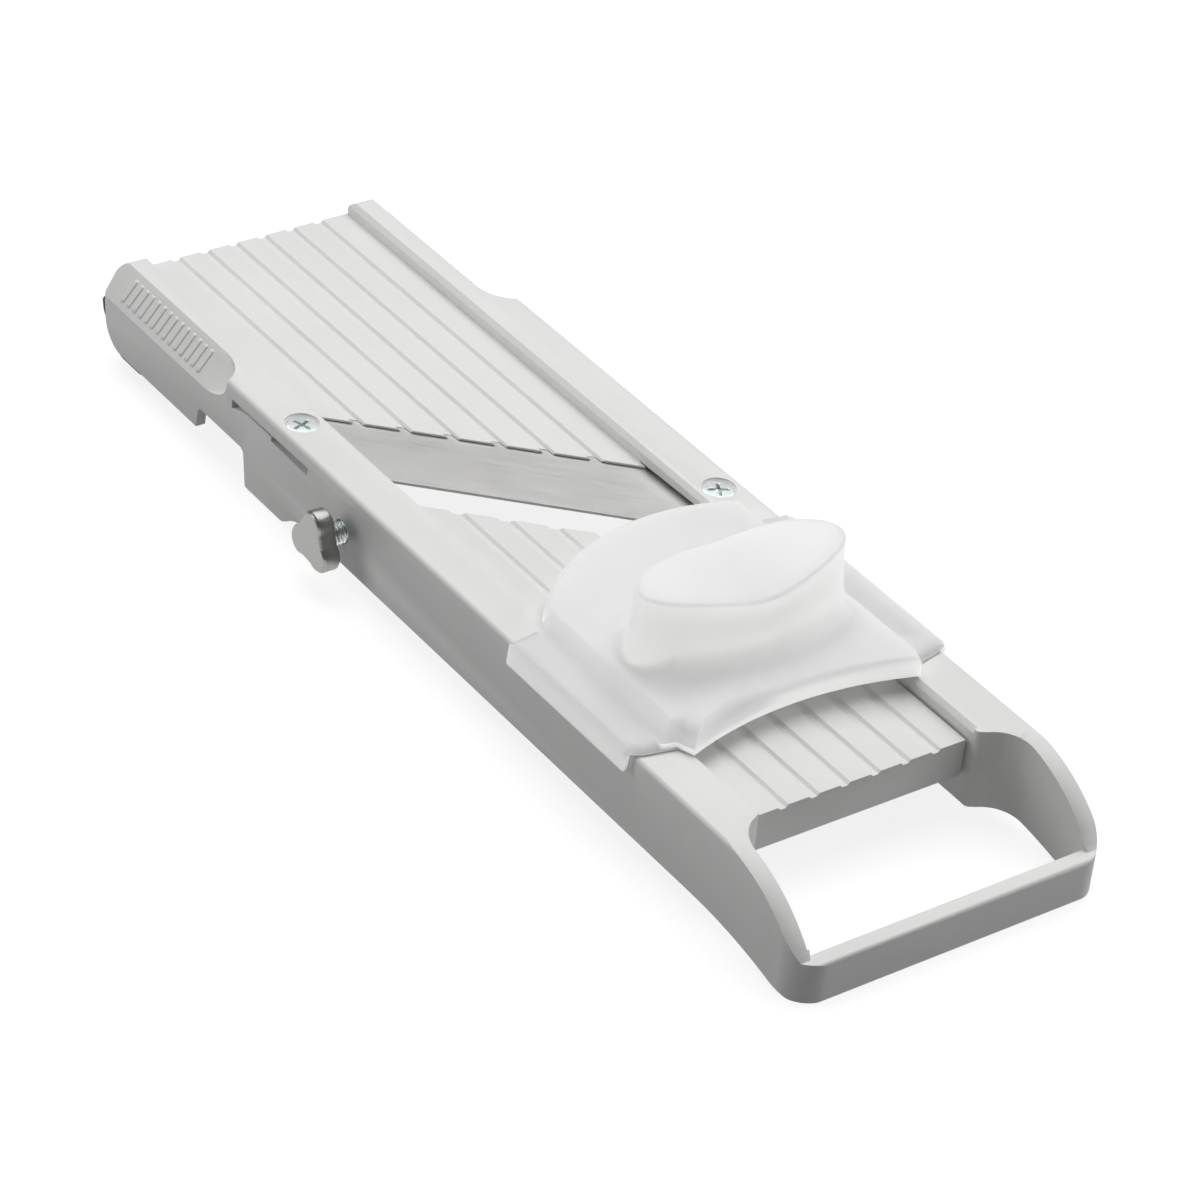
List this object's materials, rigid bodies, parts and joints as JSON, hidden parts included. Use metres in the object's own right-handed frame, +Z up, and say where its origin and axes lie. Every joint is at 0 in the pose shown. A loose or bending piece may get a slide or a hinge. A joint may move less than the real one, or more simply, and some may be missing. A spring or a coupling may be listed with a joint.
{
  "type": "mandoline slicer",
  "caption": "Flat hand-held slicer with a slanted steel blade between two rails, an adjustable plate, a side clamp and a sliding hand guard.",
  "frame": {"origin": "centre of the flat underside of the handle bar, which rests on the table", "axes": "+Y from the handle along the rails to the far end, +X to the right when the handle is near, +Z up"},
  "size_m": [0.103, 0.3151, 0.0535],
  "materials": {
    "white_moulding": "satin moulded white plastic with a fine texture",
    "guard_plastic": "slightly translucent soft white plastic",
    "blade_steel": "ground steel with fine lengthwise lines",
    "plated_steel": "bright zinc plating",
    "cast_metal": "cast and tumbled, with a brushed face",
    "brass": "turned",
    "rubber": "dark matte rubber"
  },
  "bodies": {
    "body": {"body_frame": "white_moulding", "pivot_rod": "plated_steel", "main_blade": "blade_steel", "blade_screw_left": "plated_steel", "blade_screw_right": "plated_steel", "blade_insert_left": "brass", "blade_insert_right": "brass", "clamp_insert": "brass", "adjuster_insert": "brass", "nose_pad": "rubber"},
    "plate": {"adjust_plate": "white_moulding"},
    "adjuster_cap": {"thrust_cap": "white_moulding"},
    "adjuster_screw": {"adjuster_stud": "plated_steel", "adjuster_head": "cast_metal"},
    "clamp_screw": {"clamp_stud": "plated_steel"},
    "clamp_knob": {"clamp_head": "cast_metal"},
    "guard": {"guard_shell": "guard_plastic"}
  },
  "joints": [
    {"name": "plate_tilt", "type": "hinge", "parent": "body", "child": "plate", "pos_m": [0, 0.04225, 0.017], "axis": [1, 0, 0], "range_deg": [-2.4, 0]},
    {"name": "adjuster_travel", "type": "slide", "parent": "body", "child": "adjuster_cap", "axis": [0, 0, 1], "range_m": [-0.003, 0]},
    {"name": "adjuster_turn", "type": "hinge", "parent": "adjuster_cap", "child": "adjuster_screw", "pos_m": [0, 0.11575, 0.0055], "axis": [0, 0, 1], "range_deg": [-1085, 0]},
    {"name": "clamp_travel", "type": "slide", "parent": "body", "child": "clamp_screw", "axis": [1, 0, 0], "range_m": [-0.003, 0.0035]},
    {"name": "clamp_turn", "type": "hinge", "parent": "clamp_screw", "child": "clamp_knob", "pos_m": [-0.0527, 0.19055, 0.014], "axis": [1, 0, 0], "range_deg": [-1085, 1265]},
    {"name": "guard_slide", "type": "slide", "parent": "body", "child": "guard", "axis": [0, 1, 0], "range_m": [-0.028, 0.17]}
  ],
  "couplings": [
    {"joint": "adjuster_turn", "follows": "adjuster_travel", "rad_per_m": 6283.2},
    {"joint": "plate_tilt", "follows": "adjuster_travel", "rad_per_m": 13.605},
    {"joint": "clamp_turn", "follows": "clamp_travel", "rad_per_m": 6283.2}
  ]
}
